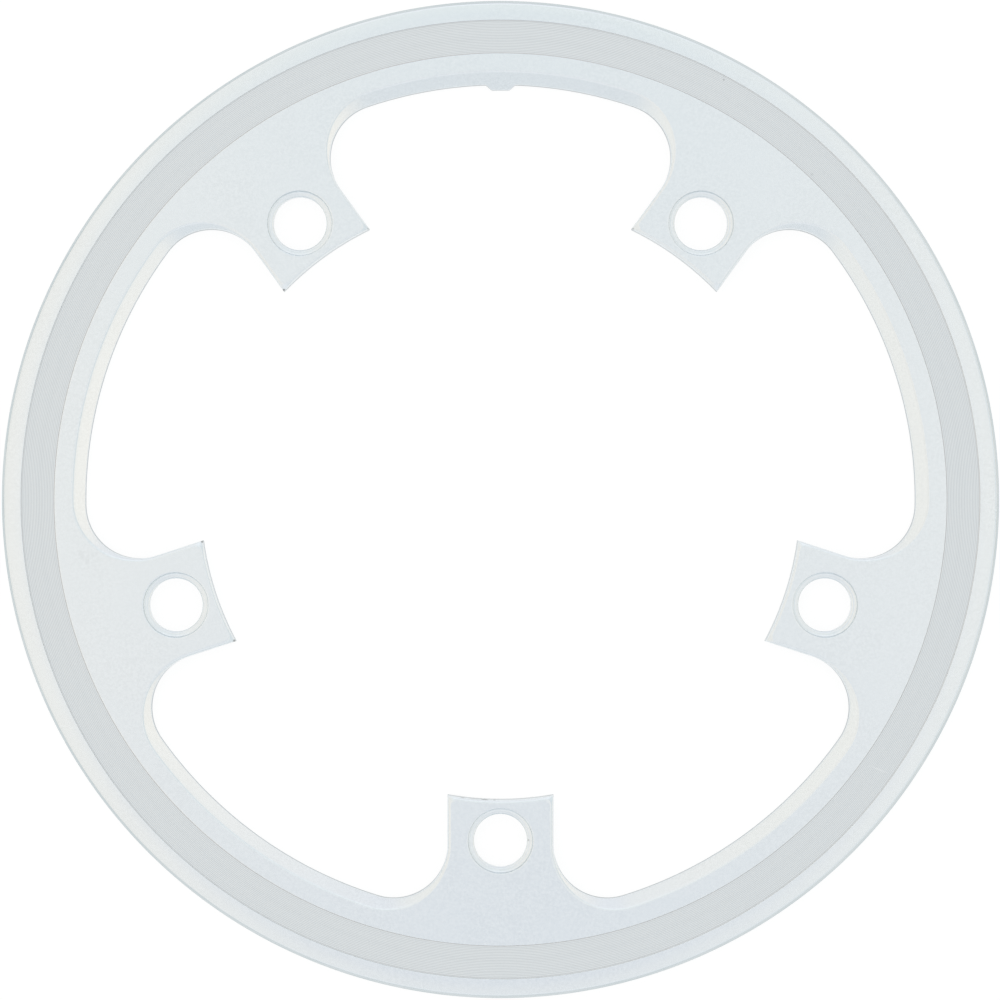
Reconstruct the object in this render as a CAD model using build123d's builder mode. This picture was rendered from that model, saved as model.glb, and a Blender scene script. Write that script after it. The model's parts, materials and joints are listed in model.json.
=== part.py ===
from build123d import *
import os
from math import sin, sqrt, radians

# A bicycle chain guard: one aluminium ring that bolts to the five arms of a crank, in a chainring's place.
# The blank is turned, with a recessed band round its face, and the openings, bevels and bolt holes are milled.
# The back lies flat on z = 0, +Z comes out of the face, and +Y points at the locating nub.

# The ring as it is turned, from the rim inwards
outer_diameter = 190.0
thickness = 4.0
rim_chamfer_width = 0.6
rim_chamfer_depth = 0.6
rim_band_width = 3.1
rim_band_fall = 0.25
groove_band_width = 6.35
groove_band_depth = 0.3
face_width = 3.5
back_chamfer = 0.4

# The bolt circle and the arms that carry it
arm_count = 5
bolt_circle_diameter = 130.0
bolt_hole_diameter = 10.1
counterbore_diameter = 12.4
counterbore_depth = 1.2
arm_width = 20.2
arm_tip_reach = 7.8
arm_edge_break = 0.4

# The openings between the arms and the bevel along their outer edge
corner_radius = 10.3
bevel_corner_radius = 11.5
bevel_width = 2.3
bevel_depth = 2.0

# The locating nub in the middle of the top opening
nub_height = 1.0
nub_root_width = 6.0
nub_tip_width = 3.0
nub_tip_round = 0.5

# How far a cutter or a joined block runs past the surface it meets
overrun = 1.0

# Places that follow from the sizes above
rim_radius = outer_diameter / 2
rim_band_radius = rim_radius - rim_chamfer_width
groove_band_outer_radius = rim_band_radius - rim_band_width
groove_band_inner_radius = groove_band_outer_radius - groove_band_width
bevel_radius = groove_band_inner_radius - face_width
opening_radius = bevel_radius - bevel_width
bolt_circle_radius = bolt_circle_diameter / 2
arm_tip_radius = bolt_circle_radius - arm_tip_reach
arm_pitch = 360 / arm_count
arm_angle = 90 - arm_pitch / 2
rim_top = thickness - rim_band_fall
groove_band_floor = thickness - groove_band_depth


def opening_outline(outer_radius, corner, growth=0.0):
    """The opening about +Y: two arm sides, two round corners and an arc about the ring's axis.

    The whole outline moves outwards by growth, and inwards where that is negative.
    """
    half_arm = arm_width / 2 - growth
    corner_middle = arm_width / 2 + corner
    corner_reach = sqrt((outer_radius - corner) ** 2 - corner_middle**2)
    arc_share = (outer_radius + growth) / (outer_radius - corner)
    side_start = Vector(0, half_arm / sin(radians(arm_pitch / 2)))
    side_end = Vector(corner_reach, half_arm).rotate(Axis.Z, arm_angle)
    arc_start = (Vector(corner_reach, corner_middle) * arc_share).rotate(Axis.Z, arm_angle)
    with BuildSketch() as outline:
        with BuildLine():
            side = Line(side_start, side_end)
            turn = TangentArc(side_end, arc_start, tangent=side % 1)
            TangentArc(arc_start, (0, outer_radius + growth), tangent=turn % 1)
            mirror(about=Plane.YZ)
        make_face()
    return outline.sketch


# The bevel's cutter has the same slope all round, and its corners are rounder than the opening's
bevel_slope = bevel_width / bevel_depth
with BuildPart() as bevel_cutter:
    with BuildSketch():
        add(opening_outline(bevel_radius, bevel_corner_radius, growth=-thickness * bevel_slope))
    with BuildSketch(Plane.XY.offset(thickness + overrun)):
        add(opening_outline(bevel_radius, bevel_corner_radius, growth=overrun * bevel_slope))
    loft(ruled=True)

# The edge break's cutter follows the opening's outline at 45 degrees
with BuildPart() as edge_cutter:
    with BuildSketch(Plane.XY.offset(thickness - arm_edge_break)):
        add(opening_outline(opening_radius, corner_radius))
    with BuildSketch(Plane.XY.offset(thickness + overrun)):
        add(opening_outline(opening_radius, corner_radius, growth=arm_edge_break + overrun))
    loft(ruled=True)

with BuildPart() as chain_guard:
    # Turned blank, bored to the circle of the arm tips
    with BuildSketch(Plane.XZ):
        with BuildLine():
            Polyline(
                (arm_tip_radius, 0),
                (rim_radius - back_chamfer, 0),
                (rim_radius, back_chamfer),
                (rim_radius, rim_top - rim_chamfer_depth),
                (rim_band_radius, rim_top),
                (groove_band_outer_radius, thickness),
                (groove_band_outer_radius, groove_band_floor),
                (groove_band_inner_radius, groove_band_floor),
                (groove_band_inner_radius, thickness),
                (arm_tip_radius + arm_edge_break, thickness),
                (arm_tip_radius, thickness - arm_edge_break),
                close=True,
            )
        make_face()
    revolve(axis=Axis.Z)

    # Openings between the arms
    with BuildSketch():
        with PolarLocations(0, arm_count):
            add(opening_outline(opening_radius, corner_radius))
    extrude(amount=thickness, mode=Mode.SUBTRACT)

    # Locating nub, left standing in the top opening and cut to the same slope as the edge round it
    nub_tip_edge = opening_radius - nub_height
    with BuildSketch():
        with BuildLine():
            Polyline(
                (nub_tip_width / 2, nub_tip_edge),
                (nub_root_width / 2, opening_radius),
                (nub_root_width / 2, opening_radius + overrun),
                (-nub_root_width / 2, opening_radius + overrun),
                (-nub_root_width / 2, opening_radius),
                (-nub_tip_width / 2, nub_tip_edge),
                close=True,
            )
        nub = make_face()
        fillet(nub.vertices().group_by(Axis.Y)[0], nub_tip_round)
    extrude(amount=thickness)

    # Edge break along the sides of the arms
    with PolarLocations(0, arm_count):
        add(edge_cutter.part, mode=Mode.SUBTRACT)

    # Bevel, which narrows and fades out along each round corner
    with PolarLocations(0, arm_count):
        add(bevel_cutter.part, mode=Mode.SUBTRACT)

    # Bolt holes, counterbored from the face
    with Locations((0, 0, thickness)):
        with PolarLocations(bolt_circle_radius, arm_count, start_angle=arm_angle):
            CounterBoreHole(bolt_hole_diameter / 2, counterbore_diameter / 2, counterbore_depth)

chain_guard.part.label = "chain_guard"

os.makedirs("parts", exist_ok=True)
export_step(chain_guard.part, "parts/chain_guard.step")
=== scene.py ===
import json
from math import asin, atan2, cos, pi, radians, sin, sqrt

import bmesh
import bpy
from mathutils import Matrix, Vector


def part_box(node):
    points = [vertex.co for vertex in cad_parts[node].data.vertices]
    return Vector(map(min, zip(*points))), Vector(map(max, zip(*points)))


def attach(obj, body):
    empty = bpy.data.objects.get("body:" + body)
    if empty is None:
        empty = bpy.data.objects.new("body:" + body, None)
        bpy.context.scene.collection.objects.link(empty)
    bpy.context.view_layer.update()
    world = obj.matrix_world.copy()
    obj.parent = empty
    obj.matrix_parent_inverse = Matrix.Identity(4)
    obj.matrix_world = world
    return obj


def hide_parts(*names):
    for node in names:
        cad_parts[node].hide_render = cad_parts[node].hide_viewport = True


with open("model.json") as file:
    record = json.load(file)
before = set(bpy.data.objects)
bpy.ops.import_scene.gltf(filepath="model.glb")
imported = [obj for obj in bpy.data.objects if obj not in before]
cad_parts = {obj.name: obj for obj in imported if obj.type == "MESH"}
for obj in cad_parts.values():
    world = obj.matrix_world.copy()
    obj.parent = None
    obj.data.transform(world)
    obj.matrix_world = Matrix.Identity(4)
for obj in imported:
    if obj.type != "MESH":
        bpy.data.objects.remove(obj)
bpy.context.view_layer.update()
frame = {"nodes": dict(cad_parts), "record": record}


# The turned ring
# The guard is one piece of aluminium plate, faced and bored on a lathe. Its face carries a shallow band
# that the tool left finely grooved, and outside it a rim that falls towards a small chamfer.
mm = 0.001
guard = bmesh.new()

# The finishes, by their places in the mesh's list of materials
satin_finish, grooved_finish, cut_finish, bored_finish = range(4)

rim_radius = max(vertex.co.xy.length for vertex in frame["nodes"]["chain_guard"].data.vertices)
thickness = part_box("chain_guard")[1].z
rim_chamfer = 0.6 * mm
rim_band_width = 3.1 * mm
rim_band_fall = 0.25 * mm
band_width = 6.35 * mm
band_depth = 0.3 * mm
back_chamfer = 0.4 * mm
groove_pitch = 0.3 * mm
groove_depth = 0.03 * mm
edge_groove = 0.03 * mm
ridge_inset = 0.25 * mm

# The rounds of the ring's edges, by how far each reaches from its corner
band_fillet = 0.14 * mm
band_edge_round = 0.1 * mm
rim_edge_round = 0.22 * mm
chamfer_edge_round = 0.2 * mm
back_edge_round = 0.15 * mm

# The fineness of the mesh, and the flat that is left beside a round
points_per_groove = 4
ring_segments = 480
fewest_steps = 4
step_length = 0.1 * mm
margin = 0.1 * mm

rim_band_radius = rim_radius - rim_chamfer
band_outer_radius = rim_band_radius - rim_band_width
band_inner_radius = band_outer_radius - band_width
rim_top = thickness - rim_band_fall
band_floor = thickness - band_depth


def rounded(start, corner, end, steps):
    """Points along a curve that leaves start towards the corner and comes to end from it."""
    shares = [step / steps for step in range(steps + 1)]
    return [start * (1 - share) ** 2 + corner * 2 * share * (1 - share) + end * share**2 for share in shares]


def eased(corners):
    """A line through (across, up, reach) corners, each rounded over its reach on both sides."""
    line = []
    for index, (across, up, reach) in enumerate(corners):
        corner = Vector((across, up))
        if reach == 0:
            line.append(corner)
            continue
        before = (Vector(corners[index - 1][:2]) - corner).normalized() * reach
        after = (Vector(corners[index + 1][:2]) - corner).normalized() * reach
        steps = max(fewest_steps, round(reach / step_length))
        line += rounded(corner + before, corner, corner + after, steps)
    return line


def skin(loops, finish=satin_finish):
    """Quads between each closed loop of vertices and the next."""
    for near, far in zip(loops, loops[1:]):
        for index in range(len(near)):
            face = guard.faces.new((near[index - 1], near[index], far[index], far[index - 1]))
            face.material_index = finish
            face.smooth = True


def turned_loops(profile, centre, segments):
    """One loop of vertices round an upright axis for each (radius, height) of the profile."""
    turns = [2 * pi * index / segments for index in range(segments)]
    loops = []
    for radius, height in profile:
        ring = [(centre.x + radius * cos(turn), centre.y + radius * sin(turn), height) for turn in turns]
        loops.append([guard.verts.new(point) for point in ring])
    return loops


first_ridge = band_inner_radius + ridge_inset
groove_count = int((band_width - 2 * ridge_inset) / groove_pitch)
last_ridge = first_ridge + groove_count * groove_pitch
groove_line = []
for index in range(groove_count * points_per_groove + 1):
    place = (index % points_per_groove) / points_per_groove
    ridge = (2 * place - 1) ** 2
    radius = first_ridge + index * groove_pitch / points_per_groove
    groove_line.append(Vector((radius, band_floor + groove_depth * ridge)))

inner_step = eased([
    (band_inner_radius - 2 * margin, thickness, 0),
    (band_inner_radius, thickness, band_edge_round),
    (band_inner_radius, band_floor - edge_groove, band_fillet),
    (first_ridge, band_floor, 0),
])[:-1]
rim_line = eased([
    (last_ridge, band_floor, 0),
    (band_outer_radius, band_floor - edge_groove, band_fillet),
    (band_outer_radius, thickness, band_edge_round),
    (rim_band_radius, rim_top, rim_edge_round),
    (rim_radius, rim_top - rim_chamfer, chamfer_edge_round),
    (rim_radius, back_chamfer, back_edge_round),
    (rim_radius - back_chamfer, 0, back_edge_round),
    (rim_radius - back_chamfer - 3 * margin, 0, 0),
])[1:]
ring_profile = inner_step + groove_line + rim_line
band_start, band_end, rim_edge = (
    next(index for index, point in enumerate(ring_profile) if point.x >= radius)
    for radius in (band_inner_radius, band_outer_radius, rim_band_radius))
ring_loops = turned_loops(ring_profile, Vector((0, 0)), ring_segments)
skin(ring_loops[: band_start + 1])
skin(ring_loops[band_start : band_end + 1], grooved_finish)
skin(ring_loops[band_end : rim_edge + 1])
skin(ring_loops[rim_edge:], cut_finish)


# The openings and the arms
# Five openings are milled through the plate and leave the arms that carry the bolts. Their outer edge has a
# wide bevel that fades round the corners, the arms have softly broken edges, and a nub stands at the top.
bolts = next(mount for mount in frame["record"]["mounts"] if mount["kind"] == "bolt_pattern")
arm_count = bolts["dims"]["count"]
bolt_circle_radius = bolts["dims"]["pcd_mm"] / 2 * mm
arm_pitch = 2 * pi / arm_count
first_arm = pi / 2 - arm_pitch / 2

face_width = 3.5 * mm
bevel_width = 2.3 * mm
bevel_depth = 2.0 * mm
arm_width = 20.2 * mm
arm_tip_reach = 7.8 * mm
corner_radius = 10.3 * mm
bevel_corner_radius = 11.5 * mm
edge_break = 0.4 * mm
tip_corner_break = 0.8 * mm
upper_edge_round = 0.25 * mm
bevel_lip_round = 0.12 * mm
arm_lip_round = 0.25 * mm
nub_height = 1.0 * mm
nub_half_root = 3.0 * mm
nub_half_tip = 1.5 * mm

# Points along each stretch of the wall in plan, how far the finer ones reach from the nub's middle,
# points down a bevel, steps of a round, and the length of an inward direction that tells a sharp corner
tip_points = 6
side_points = 6
corner_points = 28
arc_points = 20
nub_points = 16
nub_half_stretch = 3.75 * mm
bevel_shares = (0.25, 0.5, 0.75)
edge_steps = 4
sharp_corner = 1.2

bevel_radius = band_inner_radius - face_width
opening_radius = bevel_radius - bevel_width
arm_tip_radius = bolt_circle_radius - arm_tip_reach
half_arm = arm_width / 2
tip_turn = asin(half_arm / arm_tip_radius)
tip_corner = Vector((arm_tip_radius * cos(tip_turn), half_arm))
bevel_slope = bevel_width / bevel_depth


def spread(start, end, count):
    """Even steps from start up to, and without, the end."""
    return [start + (end - start) * index / count for index in range(count)]


def on_circle(radius, turn):
    """A place in plan at a radius and a turn."""
    return Vector((radius * cos(turn), radius * sin(turn)))


def corner_middle(outer_radius, radius):
    """The middle of the round corner between the side of an arm along X and an opening's outer arc."""
    across = half_arm + radius
    return Vector((sqrt((outer_radius - radius) ** 2 - across**2), across))


def half_arm_wall():
    """The plan of half an arm along X, from the middle of its tip to the middle of an opening."""
    corner = corner_middle(opening_radius, corner_radius)
    corner_turn = atan2(corner.y, corner.x)
    nub_turn = arm_pitch / 2 - nub_half_stretch / opening_radius
    line = [on_circle(arm_tip_radius, turn) for turn in spread(0, tip_turn, tip_points)]
    line += [Vector((along, half_arm)) for along in spread(tip_corner.x, corner.x, side_points)]
    line += [corner + on_circle(corner_radius, turn) for turn in spread(-pi / 2, corner_turn, corner_points)]
    line += [on_circle(opening_radius, turn) for turn in spread(corner_turn, nub_turn, arc_points)]
    line += [on_circle(opening_radius, turn) for turn in spread(nub_turn, arm_pitch / 2, nub_points)]
    line.append(on_circle(opening_radius, arm_pitch / 2))
    return line


def on_bevel(point):
    """The bevel's upper edge across from a point of the wall, or the point itself along the arm."""
    corner = corner_middle(bevel_radius, bevel_corner_radius)
    if atan2(point.y, point.x) > atan2(corner.y, corner.x):
        return point.normalized() * bevel_radius
    if point.x > corner.x:
        return corner + (point - corner).normalized() * bevel_corner_radius
    return Vector((point.x, min(point.y, half_arm)))


def all_round(half):
    """The whole inner edge of the guard in plan, anticlockwise, from half of one arm."""
    mirrored = [Vector((point.x, -point.y)) for point in half]
    arm = mirrored[:0:-1] + half[:-1]
    outline = []
    for index in range(arm_count):
        turn = Matrix.Rotation(first_arm + index * arm_pitch, 2)
        outline += [turn @ point for point in arm]
    return outline


def into_metal(outline):
    """The plan direction from the edge into the plate at each point, lengthened at sharp corners."""
    directions = []
    for index, point in enumerate(outline):
        before = point - outline[index - 1]
        after = outline[(index + 1) % len(outline)] - point
        first = Vector((before.y, -before.x)).normalized()
        second = Vector((after.y, -after.x)).normalized()
        directions.append((first + second) / (1 + first.dot(second)))
    return directions


def smooth_step(share):
    """A share from 0 to 1 that starts and ends softly."""
    share = min(max(share, 0), 1)
    return share * share * (3 - 2 * share)


def larger(first, second):
    """The larger of two lengths, with a soft change from one to the other."""
    sharpness = 4
    return (first**sharpness + second**sharpness) ** (1 / sharpness)


half_wall = half_arm_wall()
wall_line = all_round(half_wall)
bevel_line = all_round([on_bevel(point) for point in half_wall])
for point in wall_line:
    if point.y > bolt_circle_radius and abs(point.x) < nub_half_root:
        flank = (nub_half_root - abs(point.x)) / (nub_half_root - nub_half_tip)
        point.y -= nub_height * smooth_step(flank)

up = Vector((0, 0, 1))
edge_rows = []
for wall, bevel, inward in zip(wall_line, bevel_line, into_metal(wall_line)):
    run = (bevel - wall).length
    width = larger(run, tip_corner_break if inward.length > sharp_corner else edge_break)
    drop = larger(run / bevel_slope, edge_break)
    slope = sqrt(width**2 + drop**2)
    lip_round = arm_lip_round + (bevel_lip_round - arm_lip_round) * smooth_step(run / bevel_width)
    top = (bevel + inward * (width - run)).to_3d() + up * thickness
    lip = wall.to_3d() + up * (thickness - drop)
    foot = wall.to_3d()
    under = inward.to_3d()
    over = (bevel - wall).normalized().to_3d() if run > edge_break else under
    bevel_start = top.lerp(lip, upper_edge_round / slope)
    bevel_end = lip.lerp(top, lip_round / slope)
    row = [top + over * (upper_edge_round + margin)]
    row += rounded(top + over * upper_edge_round, top, bevel_start, edge_steps)
    row += [bevel_start.lerp(bevel_end, share) for share in bevel_shares]
    row += rounded(bevel_end, lip, lip - up * lip_round, edge_steps)
    # The last step of the lip's round has the wall's finish
    wall_top = len(row) - 2
    row += rounded(foot + up * back_edge_round, foot, foot + under * back_edge_round, edge_steps)
    row.append(foot + under * (back_edge_round + margin))
    edge_rows.append(row)
edge_loops = [[guard.verts.new(row[level]) for row in edge_rows] for level in range(len(edge_rows[0]))]
skin(edge_loops[: wall_top + 1])
skin(edge_loops[wall_top:], cut_finish)
for face in guard.faces:
    if face.material_index == cut_finish and face.calc_center_median().xy.length < arm_tip_radius + margin:
        face.material_index = bored_finish


# The bolt holes
# Each arm has a hole for a chainring bolt, bored through and counterbored from the face, so that the bolt's
# head sits below it. The cutter's round nose left a fillet at the foot of the counterbore, and the edge
# of the hole was broken with a countersink.
bolt_hole_radius = bolts["dims"]["hole_r_mm"] * mm
counterbore_radius = 6.2 * mm
counterbore_depth = 1.2 * mm
ledge_fillet = 0.62 * mm
hole_break_width = 0.30 * mm
hole_break_depth = 0.25 * mm
hole_edge_round = 0.08 * mm
hole_back_round = 0.25 * mm
hole_segments = 96
ledge_height = thickness - counterbore_depth
hole_profile = eased([
    (counterbore_radius + 3 * margin, thickness, 0),
    (counterbore_radius, thickness, hole_edge_round),
    (counterbore_radius, ledge_height, ledge_fillet),
    (bolt_hole_radius + hole_break_width, ledge_height, hole_edge_round),
    (bolt_hole_radius, ledge_height - hole_break_depth, hole_edge_round),
    (bolt_hole_radius, 0, hole_back_round),
    (bolt_hole_radius + 4 * margin, 0, 0),
])
hole_rims = []
for index in range(arm_count):
    centre = on_circle(bolt_circle_radius, first_arm + index * arm_pitch)
    hole_loops = turned_loops(hole_profile, centre, hole_segments)
    skin(hole_loops)
    hole_rims.append((hole_loops[0], hole_loops[-1]))


# The flat face and the flat back
# What is left between the turned ring, the openings and the bolt holes is plain flat plate on both sides.
# The back seats on the crank's arms, so nothing stands out from it.
crease_angle = radians(40)


def fill_flat(rims):
    """Flat triangles between the closed loops that bound one side of the plate."""
    edges = []
    for rim in rims:
        edges += [guard.edges.get((rim[index - 1], rim[index])) for index in range(len(rim))]
    made = bmesh.ops.triangle_fill(guard, use_beauty=True, use_dissolve=False, edges=edges)
    for item in made["geom"]:
        if isinstance(item, bmesh.types.BMFace):
            item.smooth = True


fill_flat([ring_loops[0], edge_loops[0]] + [face_rim for face_rim, back_rim in hole_rims])
fill_flat([ring_loops[-1], edge_loops[-1]] + [back_rim for face_rim, back_rim in hole_rims])
bmesh.ops.recalc_face_normals(guard, faces=guard.faces)
guard_mesh = bpy.data.meshes.new("chain_guard_ring")
guard.to_mesh(guard_mesh)
guard.free()
guard_mesh.set_sharp_from_angle(angle=crease_angle)
guard_piece = bpy.data.objects.new("chain_guard_ring", guard_mesh)
bpy.context.scene.collection.objects.link(guard_piece)
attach(guard_piece, "root")
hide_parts("chain_guard")


# The satin finish
# The whole part is anodised silver, and its faces were first blasted to a fine matt. Dark burrs have stayed
# at some corners of the arm tips and along the lowest tip, with faint smudges on the left of the face and a
# speck on the lowest ledge.
satin_dull = (0.798, 0.840, 0.861)
satin_bright = (0.838, 0.880, 0.901)
satin_cloud = (0.825, 0.870, 0.893)
satin_roughness = (0.23, 0.25)
burr_tone = (0.30, 0.31, 0.31)
grain_scale = 1900
cloud_scale = 70
cloud_share = 0.5
blast_scale = 5200
blast_strength = 0.010
blast_depth = 0.02 * mm

# Noise lies about its middle, and most of it within this reach, or a shorter or longer one for a harder or
# softer change
noise_detail = 2
noise_middle = 0.5
noise_reach = 0.2
hard_reach = 0.15
soft_reach = 0.25

# A mark is full out to this share of its size, and reaches this far up and down
mark_core = 0.4
mark_height = 1.2 * mm
burr_size = 0.42 * mm
burr_inset = 0.15 * mm
tip_burr_half_width = 0.14 * mm


def new_finish(name):
    """A node material with its surface shader set to metal."""
    material = bpy.data.materials.new(name)
    material.use_nodes = True
    shader = material.node_tree.nodes["Principled BSDF"]
    shader.inputs["Metallic"].default_value = 1.0
    return material, material.node_tree, shader


def add_maths(tree, operation, first, second):
    """The result of an operation on two values, each a number or another node's output."""
    maths = tree.nodes.new("ShaderNodeMath")
    maths.operation = operation
    for socket, value in zip(maths.inputs, (first, second)):
        if isinstance(value, float):
            socket.default_value = value
        else:
            tree.links.new(value, socket)
    return maths.outputs["Value"]


def add_place(tree, scale=(1, 1, 1)):
    """The place on the part in metres, stretched along its axes."""
    stretch = tree.nodes.new("ShaderNodeVectorMath")
    stretch.operation = "MULTIPLY"
    stretch.inputs[1].default_value = scale
    tree.links.new(tree.nodes.new("ShaderNodeTexCoord").outputs["Object"], stretch.inputs[0])
    return stretch.outputs["Vector"]


def add_length(tree, vector):
    """How long a vector is."""
    length = tree.nodes.new("ShaderNodeVectorMath")
    length.operation = "LENGTH"
    tree.links.new(vector, length.inputs[0])
    return length.outputs["Value"]


def add_noise(tree, place, scale):
    """Soft noise over the part, finer at a larger scale."""
    noise = tree.nodes.new("ShaderNodeTexNoise")
    noise.inputs["Scale"].default_value = scale
    noise.inputs["Detail"].default_value = noise_detail
    tree.links.new(place, noise.inputs["Vector"])
    return noise.outputs["Fac"]


def add_range(tree, value, low, high, out_low, out_high):
    """What goes softly from out_low to out_high as the value goes from low to high."""
    scaled = tree.nodes.new("ShaderNodeMapRange")
    scaled.interpolation_type = "SMOOTHSTEP"
    for socket, number in (("From Min", low), ("From Max", high), ("To Min", out_low), ("To Max", out_high)):
        scaled.inputs[socket].default_value = number
    tree.links.new(value, scaled.inputs["Value"])
    return scaled.outputs["Result"]


def add_variation(tree, noise, out_low, out_high, reach=noise_reach):
    """What goes softly from out_low to out_high with a noise."""
    return add_range(tree, noise, noise_middle - reach, noise_middle + reach, out_low, out_high)


def add_blend(tree, share, first, second):
    """A colour that goes from the first to the second as the share goes from 0 to 1."""
    blend = tree.nodes.new("ShaderNodeMix")
    blend.data_type = "RGBA"
    tree.links.new(share, blend.inputs["Factor"])
    for socket, colour in ((blend.inputs[6], first), (blend.inputs[7], second)):
        if isinstance(colour, tuple):
            socket.default_value = (*colour, 1)
        else:
            tree.links.new(colour, socket)
    return blend.outputs[2]


def add_marks(tree, marks):
    """The strongest of some long spots, each (centre, half length, half width, turn, strength)."""
    strongest = None
    for centre, half_length, half_width, turn, strength in marks:
        spot = tree.nodes.new("ShaderNodeMapping")
        spot.vector_type = "TEXTURE"
        spot.inputs["Location"].default_value = centre
        spot.inputs["Rotation"].default_value = (0, 0, turn)
        spot.inputs["Scale"].default_value = (half_length, half_width, mark_height)
        tree.links.new(tree.nodes.new("ShaderNodeTexCoord").outputs["Object"], spot.inputs["Vector"])
        share = add_range(tree, add_length(tree, spot.outputs["Vector"]), mark_core, 1.0, strength, 0.0)
        strongest = add_maths(tree, "MAXIMUM", strongest, share) if strongest else share
    return strongest


def on_face(across, along):
    """A place on the face, from its place in plan."""
    return Vector((across, along, thickness))


def beside_arm(arm, along, across):
    """A place on the face beside the middle line of one arm."""
    return on_face(*(Matrix.Rotation(first_arm + arm * arm_pitch, 2) @ Vector((along, across))))


# The burrs at corners as (arm, side, strength), and along the lowest tip as (across, half length, strength)
corner_burrs = ((1, 1, 1.0), (2, 1, 0.9), (2, -1, 0.85), (0, 1, 0.5), (1, -1, 0.35))
lowest_arm = 3
tip_burrs = ((-7.2 * mm, 0.7 * mm, 0.6), (-4.9 * mm, 1.6 * mm, 0.35),
             (-3.0 * mm, 1.1 * mm, 1.0), (-1.2 * mm, 0.4 * mm, 0.6))
burrs = []
for arm, side, strength in corner_burrs:
    centre = beside_arm(arm, tip_corner.x + burr_inset, side * (tip_corner.y - burr_inset))
    burrs.append((centre, burr_size, burr_size, 0, strength))
for across, half_length, strength in tip_burrs:
    lean = asin(across / arm_tip_radius)
    centre = beside_arm(lowest_arm, arm_tip_radius * cos(lean), across)
    burrs.append((centre, half_length, tip_burr_half_width, lean, strength))

# The other marks, each as add_marks takes it
ledge_speck = (Vector((5.3 * mm, -64.9 * mm, ledge_height)), 0.25 * mm, 0.25 * mm, 0, 0.45)
smudges = [(on_face(-79.8 * mm, -10.4 * mm), 1.5 * mm, 0.7 * mm, radians(110), 0.045),
           (on_face(-78.6 * mm, -11.3 * mm), 1.3 * mm, 0.6 * mm, radians(80), 0.06),
           (on_face(-77.3 * mm, -10.6 * mm), 1.2 * mm, 0.6 * mm, radians(15), 0.035)]

satin, tree, shader = new_finish("satin_anodised")
grain = add_noise(tree, add_place(tree), grain_scale)
clouds = add_noise(tree, add_place(tree), cloud_scale)
fine_tone = add_blend(tree, add_variation(tree, grain, 0, 1), satin_dull, satin_bright)
wide_tone = add_blend(tree, add_variation(tree, clouds, 0, cloud_share, hard_reach), fine_tone, satin_cloud)
marked_tone = add_blend(tree, add_marks(tree, burrs + smudges + [ledge_speck]), wide_tone, burr_tone)
tree.links.new(marked_tone, shader.inputs["Base Color"])
tree.links.new(add_variation(tree, grain, *satin_roughness, soft_reach), shader.inputs["Roughness"])
blast = tree.nodes.new("ShaderNodeBump")
blast.inputs["Strength"].default_value = blast_strength
blast.inputs["Distance"].default_value = blast_depth
tree.links.new(add_noise(tree, add_place(tree), blast_scale), blast.inputs["Height"])
tree.links.new(blast.outputs["Normal"], shader.inputs["Normal"])


# The finish of the turned band
# The band keeps the marks of its turning: valleys that differ from ring to ring, a painted highlight on the
# ridges and painted shade in the valleys, and a painted shade line along each edge where the band steps
# down. Two specks and one pale scratch lie on it.
# The valley tones are painted shade in the grooves' hollows, differing at random from ring to ring, and the
# ridge tone is a painted highlight
shaded_valley_dull = (0.625, 0.66, 0.68)
shaded_valley_bright = (0.67, 0.705, 0.725)
ridge_highlight_tone = (0.81, 0.845, 0.865)
# Painted shade lines along the band's edges, where it steps down from the face and from the rim
inner_edge_shade_tone = (0.64, 0.64, 0.64)
outer_edge_shade_tone = (0.715, 0.735, 0.745)
scratch_tone = (0.86, 0.88, 0.90)
band_roughness = (0.42, 0.54)

# Within a groove, with its pitch as 1: how fast the valleys change, and where the ridge's painted highlight
# and the valley's painted shade are full
ring_scale = 1.7
ring_detail = 1
half_groove = 0.5
ridge_highlight_end = 0.05
valley_shade_start = 0.45

# How far the painted shade lines reach in from the band's edges
edge_shade_core = 0.08 * mm
inner_edge_shade_width = 0.18 * mm
outer_edge_shade_width = 0.20 * mm
band_specks = [(on_face(42.5 * mm, 79.9 * mm), 0.30 * mm, 0.20 * mm, 0, 0.55),
               (on_face(59.3 * mm, 61.9 * mm), 0.42 * mm, 0.32 * mm, 0, 0.20)]
band_scratch = (on_face(72.0 * mm, -51.4 * mm), 2.4 * mm, 0.22 * mm, radians(-22), 0.4)

grooved, tree, shader = new_finish("turned_band")
from_axis = add_length(tree, add_place(tree, (1, 1, 0)))
groove_place = add_maths(tree, "DIVIDE", add_maths(tree, "SUBTRACT", from_axis, first_ridge), groove_pitch)
from_ridge = add_maths(tree, "PINGPONG", groove_place, half_groove)
rings = tree.nodes.new("ShaderNodeTexNoise")
rings.noise_dimensions = "1D"
rings.inputs["Scale"].default_value = ring_scale
rings.inputs["Detail"].default_value = ring_detail
tree.links.new(groove_place, rings.inputs["W"])
shaded_valley_tone = add_blend(tree, add_variation(tree, rings.outputs["Fac"], 0, 1), shaded_valley_dull, shaded_valley_bright)
# The ridges get a painted highlight and the valleys painted shade
ridge_highlight_share = add_range(tree, from_ridge, ridge_highlight_end, valley_shade_start, 1, 0)
groove_light_and_shade_tone = add_blend(tree, ridge_highlight_share, shaded_valley_tone, ridge_highlight_tone)
from_inner_edge = add_maths(tree, "SUBTRACT", from_axis, band_inner_radius)
from_outer_edge = add_maths(tree, "SUBTRACT", band_outer_radius, from_axis)
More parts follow.
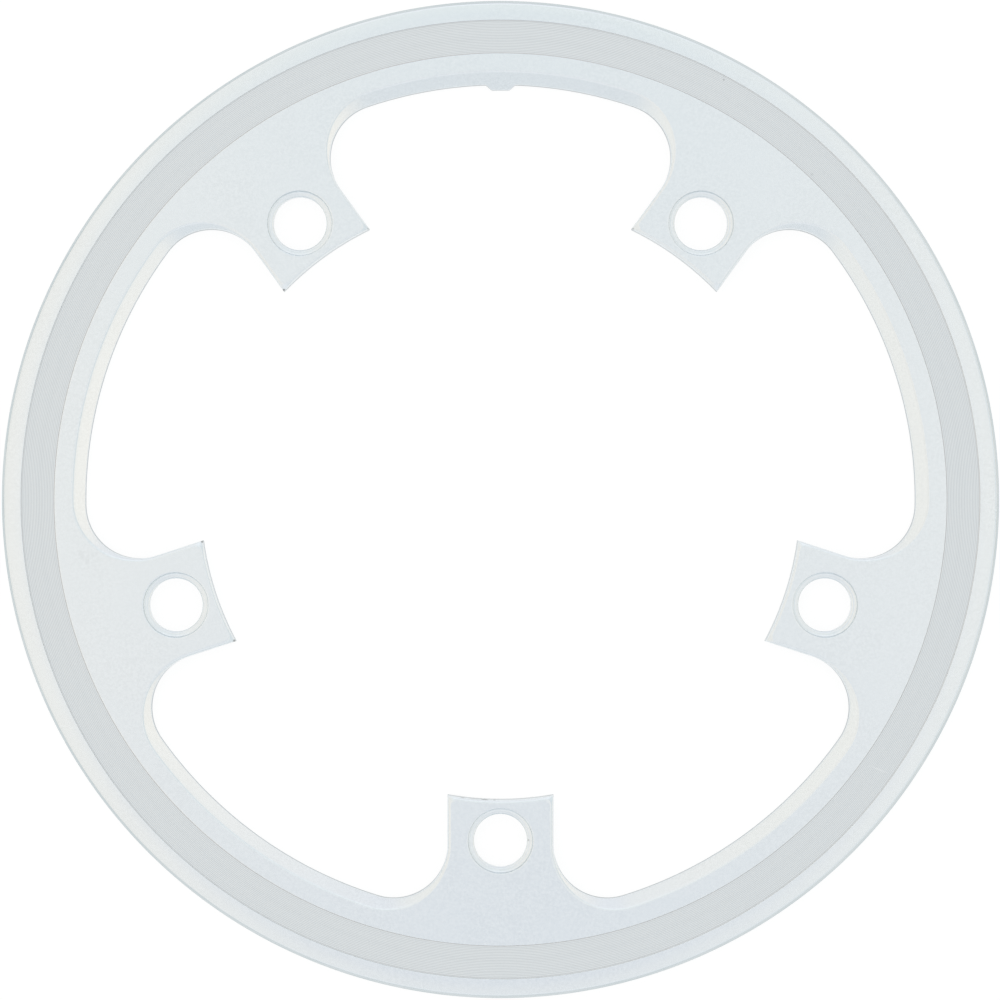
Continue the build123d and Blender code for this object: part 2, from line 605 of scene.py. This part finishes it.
# Painted shade along both edges of the band
inner_edge_shade = add_range(tree, from_inner_edge, edge_shade_core, inner_edge_shade_width, 1, 0)
outer_edge_shade = add_range(tree, from_outer_edge, edge_shade_core, outer_edge_shade_width, 1, 0)
inner_edge_shaded_tone = add_blend(tree, inner_edge_shade, groove_light_and_shade_tone, inner_edge_shade_tone)
edge_shaded_tone = add_blend(tree, outer_edge_shade, inner_edge_shaded_tone, outer_edge_shade_tone)
scratched_tone = add_blend(tree, add_marks(tree, [band_scratch]), edge_shaded_tone, scratch_tone)
speckled_tone = add_blend(tree, add_marks(tree, band_specks), scratched_tone, burr_tone)
tree.links.new(speckled_tone, shader.inputs["Base Color"])
tree.links.new(add_variation(tree, rings.outputs["Fac"], *band_roughness), shader.inputs["Roughness"])


# The finish of the cut walls
# The rim's edge and the walls of the openings keep the long fine streaks of the cutter, on a tone greyer
# than the blasted faces that is painted shade, darker again at a glancing angle. The tips of the arms lie on
# one bored circle and get a lighter painted shade.
streak_stretch = (0.15, 0.15, 4)
streak_scale = 900
wall_roughness = (0.22, 0.30)


def cut_wall(name, shaded_dull_tone, shaded_bright_tone, glancing_shade_tone):
    """A wall with a cutter's fine streaks on a greyer tone of painted shade, burrs at its corners, and
    painted shade at a glancing angle.
    """
    wall_finish, tree, shader = new_finish(name)
    streaks = add_noise(tree, add_place(tree, streak_stretch), streak_scale)
    shaded_streak_tone = add_blend(tree, add_variation(tree, streaks, 0, 1), shaded_dull_tone, shaded_bright_tone)
    burred_tone = add_blend(tree, add_marks(tree, burrs), shaded_streak_tone, burr_tone)
    tree.links.new(burred_tone, shader.inputs["Base Color"])
    # The specular tint darkens the reflection at a glancing angle as painted shade
    shader.inputs["Specular Tint"].default_value = (*glancing_shade_tone, 1)
    tree.links.new(add_variation(tree, streaks, *wall_roughness), shader.inputs["Roughness"])
    return wall_finish


# Both walls' tones are greyer than the faces as painted shade, the bored tips less so
cut = cut_wall("cut_edge", shaded_dull_tone=(0.61, 0.67, 0.69), shaded_bright_tone=(0.67, 0.72, 0.735),
               glancing_shade_tone=(0.70, 0.71, 0.72))
bored = cut_wall("bored_tip", shaded_dull_tone=(0.68, 0.73, 0.745), shaded_bright_tone=(0.73, 0.775, 0.79),
                 glancing_shade_tone=(0.80, 0.81, 0.82))
for finish in (satin, grooved, cut, bored):
    guard_mesh.materials.append(finish)


# The floor
# A wide sheet of white studio paper that the guard lies on. It shows white to the eye and in the metal,
# keeps the soft shadow under the edges, and lets a view from below see through to the back.
half_floor = 4.0
floor_height = -0.02 * mm
paper_grey = (0.16, 0.16, 0.16)
paper_glow = 0.88
floor_mesh = bpy.data.meshes.new("studio_floor")
floor_corners = [(-half_floor, -half_floor, floor_height), (half_floor, -half_floor, floor_height),
                 (half_floor, half_floor, floor_height), (-half_floor, half_floor, floor_height)]
floor_mesh.from_pydata(floor_corners, [], [(0, 1, 2, 3)])
floor_piece = bpy.data.objects.new("studio_floor", floor_mesh)
bpy.context.scene.collection.objects.link(floor_piece)

paper = bpy.data.materials.new("white_paper")
paper.use_nodes = True
tree = paper.node_tree
tree.nodes.remove(tree.nodes["Principled BSDF"])
matt = tree.nodes.new("ShaderNodeBsdfDiffuse")
matt.inputs["Color"].default_value = (*paper_grey, 1)
glow = tree.nodes.new("ShaderNodeEmission")
ray = tree.nodes.new("ShaderNodeLightPath")
seen = add_maths(tree, "MAXIMUM", ray.outputs["Is Camera Ray"], ray.outputs["Is Glossy Ray"])
seen = add_maths(tree, "MAXIMUM", seen, ray.outputs["Is Transmission Ray"])
tree.links.new(add_maths(tree, "MULTIPLY", seen, paper_glow), glow.inputs["Strength"])
lit = tree.nodes.new("ShaderNodeAddShader")
tree.links.new(matt.outputs["BSDF"], lit.inputs[0])
tree.links.new(glow.outputs["Emission"], lit.inputs[1])
from_below = tree.nodes.new("ShaderNodeMixShader")
tree.links.new(tree.nodes.new("ShaderNodeNewGeometry").outputs["Backfacing"], from_below.inputs["Fac"])
tree.links.new(lit.outputs["Shader"], from_below.inputs[1])
tree.links.new(tree.nodes.new("ShaderNodeBsdfTransparent").outputs["BSDF"], from_below.inputs[2])
tree.links.new(from_below.outputs["Shader"], tree.nodes["Material Output"].inputs["Surface"])
floor_mesh.materials.append(paper)


# The light
# A white tent of soft light, warm from the left and low on the right, cooler at the rear, and dimmer and
# bluer in front and overhead, where the camera hangs. Dark strips stand low at its left and right, and a
# bright one low in front. Each wall gives its light by height, from the horizon at 0 to overhead at 1.
left_wall = ((0.0, (0.05, 0.26, 0.36)), (0.07, (1.06, 1.025, 0.965)), (0.40, (1.03, 0.99, 0.94)),
             (0.65, (0.95, 0.925, 0.885)), (0.90, (0.98, 0.95, 0.905)), (0.955, (1.03, 0.99, 0.94)),
             (0.985, (1.04, 1.00, 0.95)))
right_wall = ((0.0, (0.45, 0.50, 0.50)), (0.07, (1.16, 1.09, 1.01)), (0.25, (1.14, 1.075, 0.995)),
              (0.50, (0.78, 0.83, 0.85)), (0.80, (0.82, 0.86, 0.88)), (0.96, (1.00, 0.98, 0.95)))
front_wall = ((0.0, (1.46, 1.32, 1.32)), (0.07, (0.83, 0.86, 0.885)), (0.40, (0.84, 0.865, 0.885)),
              (0.70, (0.95, 0.96, 0.985)), (0.90, (0.91, 0.925, 0.94)), (0.965, (0.89, 0.89, 0.90)),
              (0.993, (0.65, 0.722, 0.85)))
rear_wall = ((0.0, (1.10, 1.10, 1.10)), (0.07, (0.915, 0.92, 0.955)), (0.25, (0.92, 0.925, 0.955)),
             (0.60, (1.025, 1.045, 1.075)), (0.85, (0.99, 1.01, 1.025)), (0.95, (0.90, 0.94, 0.935)),
             (0.985, (0.78, 0.86, 0.92)))

# How the walls meet: low down the side walls narrow and lean to the rear, and overhead all four blend
low_narrowing = 0.32
left_lean = 0.32
right_lean = 0.10
overhead_width = 0.04
rear_reach = 0.9
side_start = 0.2
side_end = 0.8

tent = bpy.data.worlds.new("light_tent")
bpy.context.scene.world = tent
tent.use_nodes = True
tree = tent.node_tree
axes = tree.nodes.new("ShaderNodeSeparateXYZ")
tree.links.new(tree.nodes.new("ShaderNodeTexCoord").outputs["Generated"], axes.inputs["Vector"])


def add_wall(tree, height, stops):
    """The light of one wall of the tent, by the height of the direction, from the horizon up."""
    ramp = tree.nodes.new("ShaderNodeValToRGB")
    elements = ramp.color_ramp.elements
    elements.remove(elements[1])
    elements[0].position = stops[0][0]
    for position, colour in stops[1:]:
        elements.new(position)
    for element, (position, colour) in zip(elements, stops):
        element.color = (*colour, 1)
    tree.links.new(height, ramp.inputs["Fac"])
    return ramp.outputs["Color"]


flat = tree.nodes.new("ShaderNodeCombineXYZ")
tree.links.new(axes.outputs["X"], flat.inputs["X"])
tree.links.new(axes.outputs["Y"], flat.inputs["Y"])
flat.inputs["Z"].default_value = overhead_width
from_overhead = add_length(tree, flat.outputs["Vector"])
rightwards = add_maths(tree, "DIVIDE", axes.outputs["X"], from_overhead)
rearwards = add_maths(tree, "DIVIDE", axes.outputs["Y"], from_overhead)
left, right, front, rear = (add_wall(tree, axes.outputs["Z"], stops)
                            for stops in (left_wall, right_wall, front_wall, rear_wall))
lowness = add_maths(tree, "SUBTRACT", 1.0, axes.outputs["Z"])
narrowing = add_maths(tree, "SUBTRACT", 1.0, add_maths(tree, "MULTIPLY", lowness, low_narrowing))
sideways = add_maths(tree, "MULTIPLY", rightwards, narrowing)
low_rear = add_maths(tree, "MULTIPLY", lowness, add_maths(tree, "MAXIMUM", rearwards, 0.0))
right_lead = add_maths(tree, "ADD", add_maths(tree, "MULTIPLY", low_rear, right_lean), sideways)
left_lead = add_maths(tree, "SUBTRACT", add_maths(tree, "MULTIPLY", low_rear, left_lean), sideways)
whole_tent = add_blend(tree, add_range(tree, rearwards, -rear_reach, rear_reach, 0, 1), front, rear)
whole_tent = add_blend(tree, add_range(tree, right_lead, side_start, side_end, 0, 1), whole_tent, right)
whole_tent = add_blend(tree, add_range(tree, left_lead, side_start, side_end, 0, 1), whole_tent, left)
tree.links.new(whole_tent, tree.nodes["Background"].inputs["Color"])
backdrop = tree.nodes.new("ShaderNodeBackground")
backdrop.inputs["Color"].default_value = (1, 1, 1, 1)
eye = tree.nodes.new("ShaderNodeLightPath")
either = tree.nodes.new("ShaderNodeMixShader")
tree.links.new(eye.outputs["Is Camera Ray"], either.inputs["Fac"])
tree.links.new(tree.nodes["Background"].outputs["Background"], either.inputs[1])
tree.links.new(backdrop.outputs["Background"], either.inputs[2])
tree.links.new(either.outputs["Shader"], tree.nodes["World Output"].inputs["Surface"])
bpy.context.scene.view_settings.view_transform = "Standard"


# The camera
# It looks straight down on the face from a little under a metre, with the guard filling the frame and a
# hair off its middle.
camera_height = 0.9
camera_offset = -0.095 * mm
frame_width = 190.32 * mm
sensor_width = 36.0
lens = bpy.data.cameras.new("studio_camera")
lens.sensor_fit = "HORIZONTAL"
lens.sensor_width = sensor_width
lens.lens = sensor_width * camera_height / frame_width
camera = bpy.data.objects.new("studio_camera", lens)
camera.location = (camera_offset, camera_offset, thickness + camera_height)
bpy.context.scene.collection.objects.link(camera)
bpy.context.scene.camera = camera
